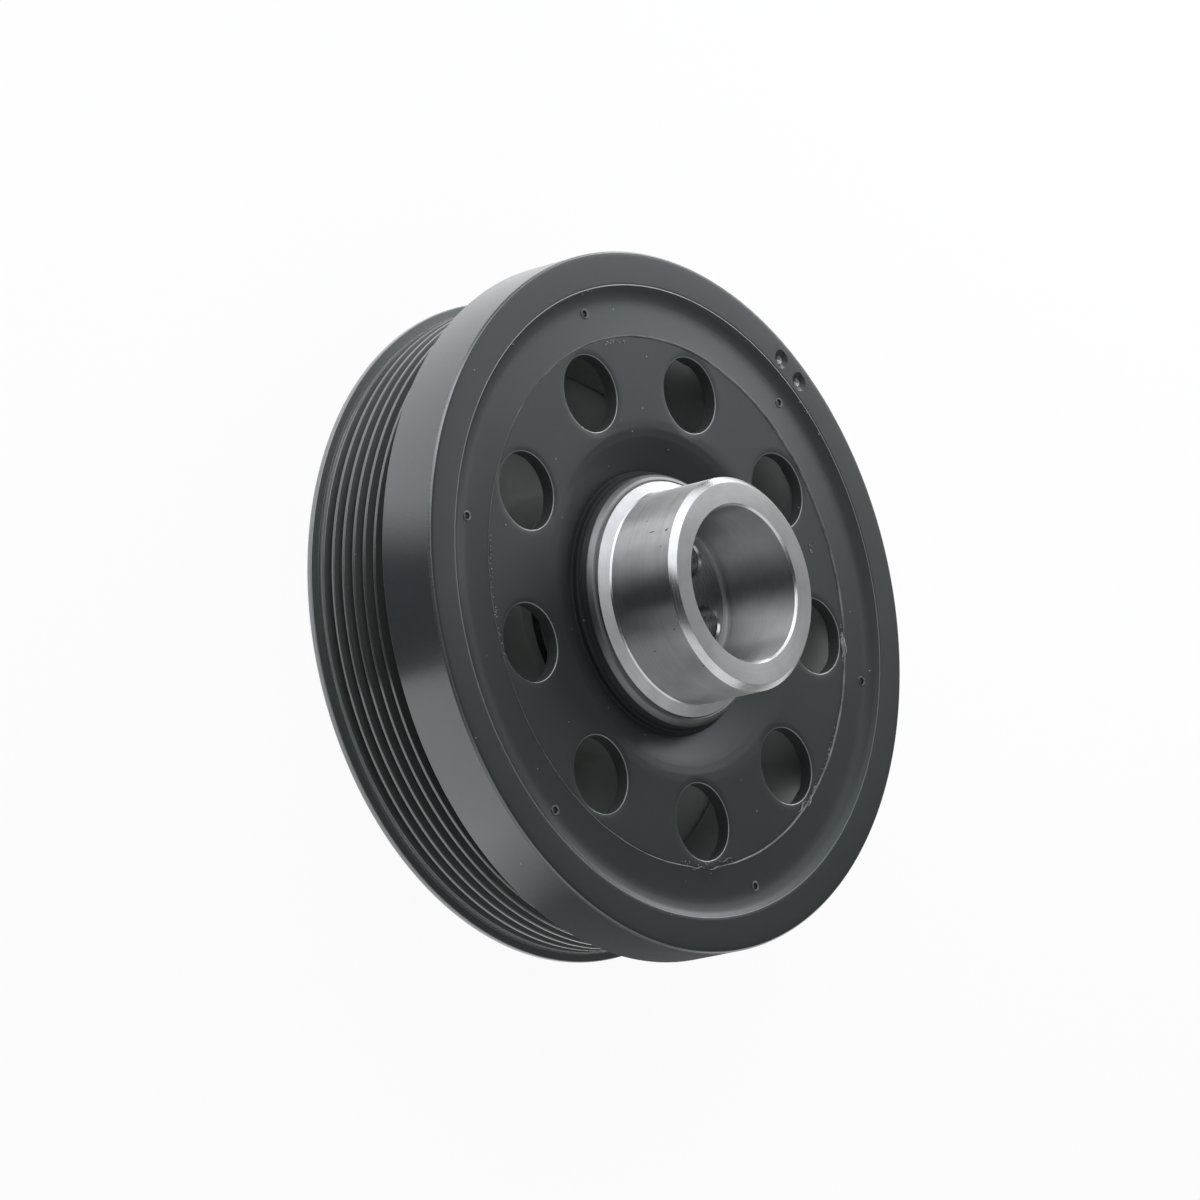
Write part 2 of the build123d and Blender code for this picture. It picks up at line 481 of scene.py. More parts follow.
def turned_places(tree):
    """Places on the object in millimetres, and the same unrolled as (radius, height, angle)."""
    place = add_node(tree, "ShaderNodeTexCoord").outputs["Object"]
    scaled = add_node(tree, "ShaderNodeVectorMath", {0: place, "Scale": 1 / MM}, operation="SCALE").outputs[0]
    x, y, z = add_node(tree, "ShaderNodeSeparateXYZ", {0: scaled}).outputs
    flat = add_node(tree, "ShaderNodeCombineXYZ", {0: x, 1: y}).outputs[0]
    radius = add_node(tree, "ShaderNodeVectorMath", {0: flat}, operation="LENGTH").outputs["Value"]
    angle = add_node(tree, "ShaderNodeMath", {0: y, 1: x}, operation="ARCTAN2").outputs[0]
    unrolled = add_node(tree, "ShaderNodeCombineXYZ", {0: radius, 1: z, 2: angle}).outputs[0]
    return scaled, unrolled


def marked(tree, scaled, marks):
    """Share of dirt at a place, 0 to 1; each mark is (x, y, z, reach across, reach along) in millimetres."""
    total = None
    for x, y, z, across, along in marks:
        offset = add_node(tree, "ShaderNodeVectorMath", {0: scaled, 1: (x, y, z)}, operation="SUBTRACT")
        reach = {0: offset.outputs[0], 1: (across, across, along)}
        share = add_node(tree, "ShaderNodeVectorMath", reach, operation="DIVIDE")
        length = add_node(tree, "ShaderNodeVectorMath", {0: share.outputs[0]}, operation="LENGTH")
        fade = {"Value": length.outputs["Value"], 1: 0.5, 2: 1.0, 3: 1.0, 4: 0.0}
        dirt = add_node(tree, "ShaderNodeMapRange", fade).outputs[0]
        if total is not None:
            dirt = add_node(tree, "ShaderNodeMath", {0: total, 1: dirt}, operation="MAXIMUM").outputs[0]
        total = dirt
    return total


# The sockets 1 to 4 of each Map Range node below are from low, from high, to low and to high.


def sprayed_paint(name, colour, tool_marks=0.3, base_roughness=0.4, coat_weight=0.0):
    """Black chassis paint sprayed on steel: semi-gloss, slightly mottled, with fine dust in it."""
    material, tree = start_material(name)
    scaled, unrolled = turned_places(tree)
    dark = toned(colour, 0.82) + (1,)
    light = tuple(min(1, c) for c in toned(colour, 1.18)) + (1,)
    # Thick and thin coats from the spray gun's passes, about 30 mm apart
    passes = {"Vector": scaled, "Scale": 0.035, "Detail": 4, "Roughness": 0.6}
    mottle = add_node(tree, "ShaderNodeTexNoise", passes)
    coat = add_node(tree, "ShaderNodeMixRGB", {0: mottle.outputs[0], 1: dark, 2: light})
    # Overspray grain of 0.4 mm, which takes the shine off
    fine = {"Vector": scaled, "Scale": 2.4, "Detail": 3, "Roughness": 0.7}
    grain = add_node(tree, "ShaderNodeTexNoise", fine)
    dull = {"Value": grain.outputs[0], 1: 0.3, 2: 0.7, 3: base_roughness - 0.06, 4: base_roughness + 0.08}
    shine = add_node(tree, "ShaderNodeMapRange", dull)
    # Dust specks about 0.4 mm across, one or two to the square centimetre
    specks = add_node(tree, "ShaderNodeTexVoronoi", {"Vector": scaled, "Scale": 0.22})
    reach = {"Value": specks.outputs["Distance"], 1: 0.03, 2: 0.06, 3: 1, 4: 0}
    near = add_node(tree, "ShaderNodeMapRange", reach)
    some = add_node(tree, "ShaderNodeSeparateColor", {0: specks.outputs["Color"]})
    chosen = add_node(tree, "ShaderNodeMath", {0: some.outputs[0], 1: 0.72}, operation="GREATER_THAN")
    dust = add_node(tree, "ShaderNodeMath", {0: near.outputs[0], 1: chosen.outputs[0]}, operation="MULTIPLY")
    dusty = add_node(tree, "ShaderNodeMixRGB", {0: dust.outputs[0], 1: coat.outputs[0], 2: linear("#8C9092")})
    # Tool marks of 0.3 mm under the paint, drawn along the turning direction
    drawn_out = {0: unrolled, 1: (3.2, 3.2, 0.6)}
    stretched = add_node(tree, "ShaderNodeVectorMath", drawn_out, operation="MULTIPLY")
    marks = add_node(tree, "ShaderNodeTexNoise", {"Vector": stretched.outputs[0], "Scale": 1, "Detail": 3})
    lines = {"Strength": tool_marks, "Distance": 2e-5, "Height": marks.outputs[0]}
    lined = add_node(tree, "ShaderNodeBump", lines)
    # Orange peel, a millimetre across
    peel = add_node(tree, "ShaderNodeTexNoise", {"Vector": scaled, "Scale": 0.9, "Detail": 2})
    waves = {"Strength": 0.35, "Distance": 3e-5, "Height": peel.outputs[0], "Normal": lined.outputs[0]}
    peeled = add_node(tree, "ShaderNodeBump", waves)
    grit = {"Strength": 0.8, "Distance": 6e-5, "Height": dust.outputs[0], "Normal": peeled.outputs[0]}
    gritty = add_node(tree, "ShaderNodeBump", grit)
    surface = {
        "Base Color": dusty.outputs[0],
        "Roughness": shine.outputs[0],
        "IOR": 1.5,
        # The shine is tinted blue, a painted tint of the cool light it mirrors
        "Specular Tint": (0.84, 0.93, 1.0, 1.0),
        "Coat Weight": coat_weight,
        "Coat Roughness": 0.25,
        "Coat IOR": 1.87,
        "Coat Normal": peeled.outputs[0],
        "Normal": gritty.outputs[0],
    }
    end_material(tree, add_node(tree, "ShaderNodeBsdfPrincipled", surface).outputs[0])
    return material


def turned_steel(name, colour, mark_pitch=0.3, mark_strength=0.25, base_roughness=0.3, anisotropy=0.6, dirt=()):
    """Bare turned steel: fine rings from the tool draw its shine out along the axis."""
    material, tree = start_material(name)
    scaled, unrolled = turned_places(tree)
    rate = 1 / mark_pitch
    drawn_out = {0: unrolled, 1: (rate, rate, 0.35)}
    stretched = add_node(tree, "ShaderNodeVectorMath", drawn_out, operation="MULTIPLY")
    rings = {"Vector": stretched.outputs[0], "Scale": 1, "Detail": 4, "Roughness": 0.65}
    marks = add_node(tree, "ShaderNodeTexNoise", rings)
    lines = add_node(tree, "ShaderNodeMapRange", {"Value": marks.outputs[0], 1: 0.3, 2: 0.7, 3: 0.92, 4: 1.08})
    # Faint stains from handling and oil, 10 mm across
    blots = {"Vector": scaled, "Scale": 0.09, "Detail": 5, "Roughness": 0.62}
    stains = add_node(tree, "ShaderNodeTexNoise", blots)
    faint = {"Value": stains.outputs[0], 1: 0.35, 2: 0.7, 3: 1.06, 4: 0.86}
    stain = add_node(tree, "ShaderNodeMapRange", faint)
    shade = add_node(tree, "ShaderNodeMath", {0: stain.outputs[0], 1: lines.outputs[0]}, operation="MULTIPLY")
    metal = {0: tuple(colour[:3]), "Scale": shade.outputs[0]}
    tinted = add_node(tree, "ShaderNodeVectorMath", metal, operation="SCALE").outputs[0]
    if dirt:
        # Specks of dirt and a finger mark, which hide most of the metal under them
        dirty = {0: marked(tree, scaled, dirt), 1: tinted, 2: linear("#3A3A38")}
        tinted = add_node(tree, "ShaderNodeMixRGB", dirty).outputs[0]
    dull = {"Value": marks.outputs[0], 1: 0.3, 2: 0.7, 3: base_roughness - 0.05, 4: base_roughness + 0.07}
    shine = add_node(tree, "ShaderNodeMapRange", dull)
    cut_in = {"Strength": mark_strength, "Distance": 1.5e-5, "Height": marks.outputs[0]}
    bump = add_node(tree, "ShaderNodeBump", cut_in)
    tangent = add_node(tree, "ShaderNodeTangent", direction_type="RADIAL", axis="Z")
    surface = {
        "Base Color": tinted,
        "Metallic": 1.0,
        "Roughness": shine.outputs[0],
        "Anisotropic": anisotropy,
        "Anisotropic Rotation": 0.25,
        "Tangent": tangent.outputs[0],
        "Normal": bump.outputs[0],
    }
    end_material(tree, add_node(tree, "ShaderNodeBsdfPrincipled", surface).outputs[0])
    return material


def moulded_rubber(name, colour, base_roughness=0.6, uneven=0.35):
    """Moulded rubber or filled plastic: soft shine, fine pits, paler and darker by the share uneven."""
    material, tree = start_material(name)
    scaled = turned_places(tree)[0]
    # Bloom on the surface, in patches about 8 mm across
    patches = {"Vector": scaled, "Scale": 0.12, "Detail": 5, "Roughness": 0.65}
    bloom = add_node(tree, "ShaderNodeTexNoise", patches)
    spread = add_node(tree, "ShaderNodeMapRange", {"Value": bloom.outputs[0], 1: 0.38, 2: 0.62, 3: 0, 4: 1})
    tones = {0: spread.outputs[0], 1: toned(colour, 1 - uneven) + (1,), 2: toned(colour, 1 + uneven) + (1,)}
    tone = add_node(tree, "ShaderNodeMixRGB", tones)
    # Pits left by the mould, 0.6 mm across
    pits = add_node(tree, "ShaderNodeTexNoise", {"Vector": scaled, "Scale": 1.6, "Detail": 4, "Roughness": 0.7})
    dull = {"Value": pits.outputs[0], 1: 0.3, 2: 0.7, 3: base_roughness - 0.08, 4: base_roughness + 0.1}
    shine = add_node(tree, "ShaderNodeMapRange", dull)
    bump = add_node(tree, "ShaderNodeBump", {"Strength": 0.4, "Distance": 5e-5, "Height": pits.outputs[0]})
    surface = {
        "Base Color": tone.outputs[0],
        "Roughness": shine.outputs[0],
        "IOR": 1.52,
        "Normal": bump.outputs[0],
    }
    end_material(tree, add_node(tree, "ShaderNodeBsdfPrincipled", surface).outputs[0])
    return material


def join_rows(mesh, rows):
    """Joins rows of four vertices to a closed strip."""
    for one, two in zip(rows, rows[1:]):
        for j in range(4):
            mesh.faces.new((one[j], one[(j + 1) % 4], two[(j + 1) % 4], two[j]))
    mesh.faces.new(rows[0][::-1])
    mesh.faces.new(rows[-1])


def add_crumb(mesh, chance, place, size):
    """One torn crumb of rubber: a small bent flake with its foot sunk in the surface."""
    turn_by = chance.uniform(0, 2 * pi)
    length = size * chance.uniform(0.5, 1.4)
    width = size * chance.uniform(0.15, 0.4)
    rise = size * chance.uniform(0.15, 0.5)
    along = Vector((cos(turn_by), sin(turn_by), 0))
    aside = Vector((-sin(turn_by), cos(turn_by), 0))
    foot = Vector(place) - Vector((0, 0, 0.08 * MM))
    thick = Vector((0, 0, 0.12 * MM))
    section = ((-1, 0), (1, 0), (0.5, 1), (-0.5, 1))
    rows = []
    for k in range(4):
        t = k / 3
        middle = foot + along * length * (t - 0.5) + Vector((0, 0, 1)) * rise * sin(pi * t)
        half = width * (1 - abs(2 * t - 1) * 0.6)
        rows.append([mesh.verts.new(middle + aside * half * a + thick * b) for a, b in section])
    join_rows(mesh, rows)


def add_curl(mesh, first, last, radius, height, thick, rise):
    """A thin torn strip that follows an arc and lifts off the surface in its middle."""
    count = max(6, ceil(abs(last - first) / radians(0.5)))
    section = ((-1, -1), (1, -1), (0.6, 1), (-0.6, 1))
    rows = []
    for k in range(count + 1):
        t = k / count
        angle = first + (last - first) * t
        lift = rise * sin(pi * t) ** 0.7
        taper = thick * (0.3 + 0.7 * sin(pi * t))
        out = radius + 0.35 * MM * sin(2.2 * pi * t)
        centre = Vector((out * cos(angle), out * sin(angle), height + lift * 0.5 - 0.05 * MM))
        aside = Vector((cos(angle), sin(angle), 0)) * taper / 2
        up = Vector((0, 0, max(lift, 0.12 * MM) / 2 + 0.05 * MM))
        rows.append([mesh.verts.new(centre + aside * a + up * b) for a, b in section])
    join_rows(mesh, rows)


class BALANCER_OT_hub(bpy.types.Operator):
    """Builds the turned steel hub"""

    bl_idname = "balancer.hub"
    bl_label = "Hub"

    def execute(self, context):
        sizes = context.scene.balancer_hub
        colours = context.scene.balancer_colours
        steel = tuple(colours.steel)
        # Specks of dirt on the nose: (angle in degrees, then height, reach across and reach along in mm)
        specks = []
        for degree, z, across, along in (
            (148.6, 66.5, 0.42, 0.5), (147.9, 67.0, 0.2, 0.2), (147.7, 61.7, 0.2, 1.1),
            (203.0, 66.0, 0.16, 0.5), (158.0, 65.6, 0.14, 0.35), (212.5, 57.0, 0.15, 0.6),
            (139.0, 58.5, 0.13, 0.4), (228.0, 68.0, 0.16, 0.6),
        ):
            turn = radians(degree)
            nose_mm = sizes.nose_radius / MM
            specks.append((nose_mm * cos(turn), nose_mm * sin(turn), z, across, along))
        materials = [
            # Ground for the seal: a satin grey drawn out along the axis, with a few dark specks
            turned_steel("ground_steel_nose", steel, 0.35, 0.15, 0.42, 1.0, specks),
            # Faced end: an even mid grey with a faint bow-tie of light
            turned_steel("faced_steel_end", toned(steel, 0.69), 0.5, 0.1, 0.42, 0.6),
            # Chamfers fresh from the tool: the brightest lines on the hub
            turned_steel("bright_chamfers", steel, 0.5, 0.08, 0.24, 0.0),
            # Bored wall: like the nose, a little darker
            turned_steel("bored_steel_wall", toned(steel, 0.9), 0.4, 0.25, 0.44, 1.0),
            # Roughly turned cone at the nose's foot: coarse rings and a broad soft shine
            turned_steel("rough_turned_cone", toned(steel, 1.08), 0.5, 2.2, 0.55, 0.2),
            # Oxidised rim of the flange: dull dark steel
            turned_steel("dull_turned_rim", toned(steel, 0.36), 0.6, 0.6, 0.42, 0.5),
            # Drilled bolt holes and the plate round them
            turned_steel("bare_bolt_hole", toned(steel, 0.9), 0.5, 0.4, 0.28, 0.2),
            # Boss: an even pale grey without shine, painted light, so that it shows lit through the web's holes
            sprayed_paint("pale_painted_light_boss", linear("#B2B6B2"), 0.5, 0.5),
        ]
        nose, end, chamfer, bore, cone, rim, bolt, boss_side = range(8)
        mesh = bmesh.new()
        top = HUB_HIGH[2]
        floor_z = top - sizes.bore_depth
        plate = 12.0 * MM
        back_z = floor_z - plate
        # Grinding relief round the bottom of the bore, undercut so that the crankshaft seats flat
        relief = sizes.bore_radius - 2.8 * MM
        undercut = sizes.bore_radius + 0.4 * MM
        relief_z = floor_z - 1.6 * MM
        plate_edge = relief - 0.35 * MM
        socket = MOUNTS["socket_recess"]["dims"]["r_mm"] * MM
        seat = HUB_HIGH[0]
        foot_z = FACE_Z - context.scene.balancer_disc.dish_depth - DISC_T
        seat_foot_z = foot_z - 3.2 * MM
        boss_top_z = seat_foot_z - 7.0 * MM
        rim_edge = sizes.flange_radius - 2.2 * MM
        outline = rounded([
            (plate_edge, floor_z, 0, bolt),
            (relief, floor_z, 0.12 * MM, bore),
            (relief, relief_z, 0.2 * MM, bore),
            (undercut, relief_z, 0.6 * MM, bore),
            (undercut, floor_z + 0.2 * MM, 0, bore),
            (sizes.bore_radius, floor_z + 0.6 * MM, 0.1 * MM, bore),
            (sizes.bore_radius, top - sizes.bore_chamfer, 0.06 * MM, chamfer),
            (sizes.bore_radius + sizes.bore_chamfer, top, 0.06 * MM, end),
            (sizes.nose_radius - sizes.nose_chamfer, top, 0.08 * MM, (chamfer, chamfer)),
            (sizes.nose_radius, top - sizes.nose_chamfer, 0.1 * MM, (chamfer, nose)),
            (sizes.nose_radius, FACE_Z + 3.2 * MM, 0.06 * MM, chamfer),
            (sizes.nose_radius + 0.4 * MM, FACE_Z + 2.8 * MM, 0.06 * MM, cone),
            (rim_edge, FACE_Z + 1.1 * MM, 0.12 * MM, rim),
            (rim_edge + 0.15 * MM, FACE_Z + 0.6 * MM, 0.08 * MM, rim),
            (rim_edge + 0.5 * MM, FACE_Z + 0.75 * MM, 0.2 * MM, rim),
            (sizes.flange_radius - 0.95 * MM, FACE_Z + 0.5 * MM, 0.8 * MM, rim),
            (sizes.flange_radius, FACE_Z - 0.8 * MM, 0.9 * MM, rim),
            (sizes.flange_radius, foot_z, 0, boss_side),
            (seat, foot_z, 0.2 * MM, boss_side),
            (seat, seat_foot_z, 0.3 * MM, boss_side),
            (BOSS_RADIUS, boss_top_z, 1.5 * MM, boss_side),
            (BOSS_RADIUS, HUB_LOW[2] + 1.0 * MM, 0.2 * MM, boss_side),
            (BOSS_RADIUS - 1.0 * MM, HUB_LOW[2], 0.2 * MM, boss_side),
            (socket, HUB_LOW[2], 0.3 * MM, boss_side),
            (socket, back_z, 0.8 * MM, boss_side),
            (plate_edge, back_z, 0, boss_side),
        ])
        # Each bolt hole lies in its own quarter of the plate
        bolts = [radians(58.4 + 90 * k) for k in range(4)]
        quarter, quarter_steps = pi / 4, 72
        angles = angles_with_sectors(bolts, quarter, quarter_steps, 1)
        turn_outline(mesh, outline, angles)
        bolt_circle = MOUNTS["clamp_bolts"]["dims"]["pcd_mm"] / 2 * MM
        bolt_radius = MOUNTS["clamp_bolts"]["dims"]["hole_r_mm"] * MM
        bolt_chamfer = 0.5 * MM
        middle_radius = 6.4 * MM
        for middle in bolts:
            for level, sign in ((floor_z, 1), (back_z, -1)):
                ring, centre = holed_sector(
                    mesh, middle, quarter, quarter_steps, (middle_radius, plate_edge), 12,
                    (bolt_radius + bolt_chamfer, bolt_circle), lambda r: level, bolt, 8,
                )
                steps = [(bolt_radius, bolt_chamfer * sign), (bolt_radius, plate / 2 * sign)]
                sink_hole(mesh, ring, centre, steps, [bolt, bolt])
        for level in (floor_z, back_z):
            inner = [mesh.verts.new((middle_radius * cos(a), middle_radius * sin(a), level)) for a in angles]
            close_ring(mesh, inner, bolt)
        finish_piece(mesh, "turned_hub", materials, ["hub"])
        return {"FINISHED"}


class BALANCER_OT_disc(bpy.types.Operator):
    """Builds the pressed disc with its dish and round holes"""

    bl_idname = "balancer.disc"
    bl_label = "Pressed disc"

    def execute(self, context):
        sizes = context.scene.balancer_disc
        hub = context.scene.balancer_hub
        colours = context.scene.balancer_colours
        paint = tuple(colours.paint)
        materials = [
            # Semi-gloss black on pressed steel: an even dark grey with a soft shine
            sprayed_paint("black_paint_web", toned(paint, 0.86), 0.15, 0.42),
            # The punched holes' rolled edges, where the paint is thin: fine light rims, partly a painted
            # highlight
            sprayed_paint("thin_paint_and_highlight_hole_edge", linear("#7A7F80"), 0.2, 0.3, 1.0),
            # Inside: a pale grey, painted light, so that the holes show a lit grey
            sprayed_paint("pale_painted_light_inside", linear("#ACB1AC"), 0.1, 0.55),
            # Walls of the holes: rough, and a shade lighter than the web, painted light that evens out their
            # shade
            sprayed_paint("painted_light_hole_wall", linear("#3A3D3B"), 0.2, 0.6),
            # Collar beside the flange, down at the dish's foot: matt and nearly black, painted shade
            sprayed_paint("painted_shade_collar", toned(paint, 0.4), 0.2, 0.8),
        ]
        web, worn_and_highlight, inside, hole_wall, collar = range(5)
        mesh = bmesh.new()
        collar_in = hub.flange_radius
        collar_out = collar_in + 1.1 * MM
        dish_foot = FACE_Z - sizes.dish_depth
        dish_in = collar_out + 2.6 * MM
        dish_out = dish_in + 9.0 * MM
        # The dish's front is one even slope down to the collar, as its highlight shows
        slope_top = dish_out - 1.8 * MM
        slope_foot = dish_foot + 1.3 * MM
        collar_top = FACE_Z - 3.0 * MM
        rim = DISC_HIGH[0]
        top = rounded([
            (collar_in, collar_top, 0, collar),
            (collar_out, collar_top, 0.5 * MM, collar),
            (collar_out, slope_foot, 0.5 * MM, (collar, web)),
            (slope_top, WEB_Z, 19.0 * MM, web),
            (rim, WEB_Z, 3.0 * MM, inside),
            (rim, DISC_LOW[2], 0.4 * MM, inside),
            (rim - DISC_T, DISC_LOW[2], 0.4 * MM, inside),
            (rim - DISC_T, WEB_Z - DISC_T, 0.6 * MM, inside),
            (dish_out, WEB_Z - DISC_T, 6.0 * MM, inside),
            (dish_in, dish_foot - DISC_T, 8.0 * MM, inside),
            (collar_in, dish_foot - DISC_T, 0, inside),
        ])
        # The holes' sectors lie between these radii
        split_in = dish_out - 2.6 * MM
        split_out = rim - 1.8 * MM
        under_split = rim - DISC_T - 0.9 * MM
        near = 0.001 * MM
        corner = next(i for i, p in enumerate(top) if p[0] >= rim - near)
        turn_back = max(i for i, p in enumerate(top) if p[0] >= rim - DISC_T - near)
        upper = top[3 : corner + 1]
        lower = top[turn_back:][::-1]
        count = sizes.hole_count
        sector_steps = 288 // count
        start = -pi / 2 - pi / count
        angles = even_angles(start, sector_steps * count)
        inner_front = [p for p in top[:corner] if p[0] < split_in]
        inner_front.append((split_in, height_at(upper, split_in), web))
        turn_outline(mesh, inner_front, angles)
        outer = [(split_out, height_at(upper, split_out), inside)]
        outer += [p for p in top[: corner + 1] if p[0] > split_out]
        outer += [p for p in top[corner + 1 :] if p[0] > under_split]
        outer.append((under_split, height_at(lower, under_split), inside))
        turn_outline(mesh, outer, angles)
        inner_back = [(split_in, height_at(lower, split_in), inside)]
        inner_back += [p for p in lower if p[0] < split_in][::-1]
        turn_outline(mesh, inner_back, angles)
        # The edge rolls in from the punch: (beyond the hole's radius, drop) in millimetres
        roll = [(1.2, 0.02), (0.7, 0.06), (0.36, 0.1), (0.2, 0.13), (0.09, 0.18), (0.02, 0.25), (0, 0.32)]
        roll_out = 1.8 * MM
        steps = [(sizes.hole_radius + out * MM, drop * MM) for out, drop in roll]
        steps.append((sizes.hole_radius, DISC_T))
        # The rolled edge's last three bands carry the pale edge finish: thin paint and a painted highlight
        finishes = [web] * 4 + [worn_and_highlight] * 3 + [hole_wall]
        for k in range(count):
            middle = -pi / 2 + 2 * pi * k / count
            ring, centre = holed_sector(
                mesh, middle, pi / count, sector_steps, (split_in, split_out), 24,
                (sizes.hole_radius + roll_out, sizes.hole_circle), lambda r: height_at(upper, r), web, 16,
            )
            sink_hole(mesh, ring, centre, steps, finishes)
            holed_sector(
                mesh, middle, pi / count, sector_steps, (split_in, under_split), 24,
                (sizes.hole_radius, sizes.hole_circle), lambda r: height_at(lower, r), inside, 16,
            )
        finish_piece(mesh, "pressed_disc", materials, ["hub_disc"])
        return {"FINISHED"}


class BALANCER_OT_ring(bpy.types.Operator):
    """Builds the inertia ring with its two balance drillings"""

    bl_idname = "balancer.ring"
    bl_label = "Inertia ring"

    def execute(self, context):
        sizes = context.scene.balancer_ring
        colours = context.scene.balancer_colours
        paint = tuple(colours.paint)
        steel = tuple(colours.steel)
        materials = [
            # Semi-gloss black on the turned face
            sprayed_paint("black_paint_land", toned(paint, 1.2), 0.5, 0.4),
            # A thicker coat on the smooth band, which mirrors the lamps as broad light zones
            sprayed_paint("glossier_paint_band", linear("#3B4045"), 0.5, 0.32, 1.0),
            # Paint that ran into the balance drillings
            sprayed_paint("painted_drilling", paint, 0.6, 0.3),
            # The drillings' tips, where the drill cut through the paint: dull steel
            turned_steel("bare_drilling_tip", toned(steel, 0.5), 0.5, 0.6, 0.35, 0.2),
            # Front edge: a lighter glossy grey, a painted highlight that makes a fine light line
            sprayed_paint("painted_highlight_ring_edge", linear("#4B5052"), 0.2, 0.28, 1.0),
        ]
        land, band, drilled_paint, bare, edge = range(5)
        mesh = bmesh.new()
        outer = RING_HIGH[0]
        back = RING_LOW[2]
        chamfer = sizes.band_chamfer
        land_in = sizes.recess_radius + 0.8 * MM
        land_out = outer - 2.8 * MM
        outline = rounded([
            (land_out, FACE_Z, 0, land),
            (outer - chamfer * 2.2, FACE_Z - 0.07 * MM, 1.2 * MM, land),
            # The rounded front edge carries the painted highlight
            (outer - chamfer * 0.8, FACE_Z - 0.26 * MM, 0.3 * MM, (edge, edge)),
            (outer, FACE_Z - chamfer * 1.6, 0.3 * MM, (edge, band)),
            (outer, back + 0.4 * MM, 0.15 * MM, band),
            (outer - 0.4 * MM, back, 0.15 * MM, land),
            (sizes.bore_radius, back, 0.3 * MM, land),
            (sizes.bore_radius, FACE_Z - RECESS_DEPTH, 0.2 * MM, land),
            (sizes.recess_radius, FACE_Z - RECESS_DEPTH, 0.2 * MM, land),
            (sizes.recess_radius, FACE_Z, 0.05 * MM, land),
            (land_in, FACE_Z, 0, land),
        ])
        drills = [radians(42.2), radians(47.8)]
        half = radians(2.8)
        angles = angles_with_sectors(drills, half, 6, radians(1.25))

        def drilled(angle):
            """Whether a face that starts at this angle lies in the drillings' sectors."""
            return drills[0] - half - ANGLE_SLACK < angle < drills[1] + half - ANGLE_SLACK

        turn_outline(mesh, outline, angles)
        turn_outline(mesh, [(land_in, FACE_Z, land), (land_out, FACE_Z, land)], angles, skip=drilled)
        # A drill's point of 118 degrees
        depth = sizes.drill_radius / tan(radians(59))
        lip = 0.06 * MM
        for middle in drills:
            ring, centre = holed_sector(
                mesh, middle, half, 6, (land_in, land_out), 10,
                (sizes.drill_radius + 0.08 * MM, outer - 5.1 * MM), lambda r: FACE_Z, land, 5,
            )
            steps = [
                (sizes.drill_radius - 0.02 * MM, lip),
                (sizes.drill_radius * 0.45, depth * 0.55 + lip),
                (0.2 * MM, depth * 0.92 + lip),
            ]
            last = sink_hole(mesh, ring, centre, steps, [land, drilled_paint, bare])
            close_ring(mesh, last, bare)
        finish_piece(mesh, "cast_inertia_ring", materials, ["inertia_ring"])
        return {"FINISHED"}


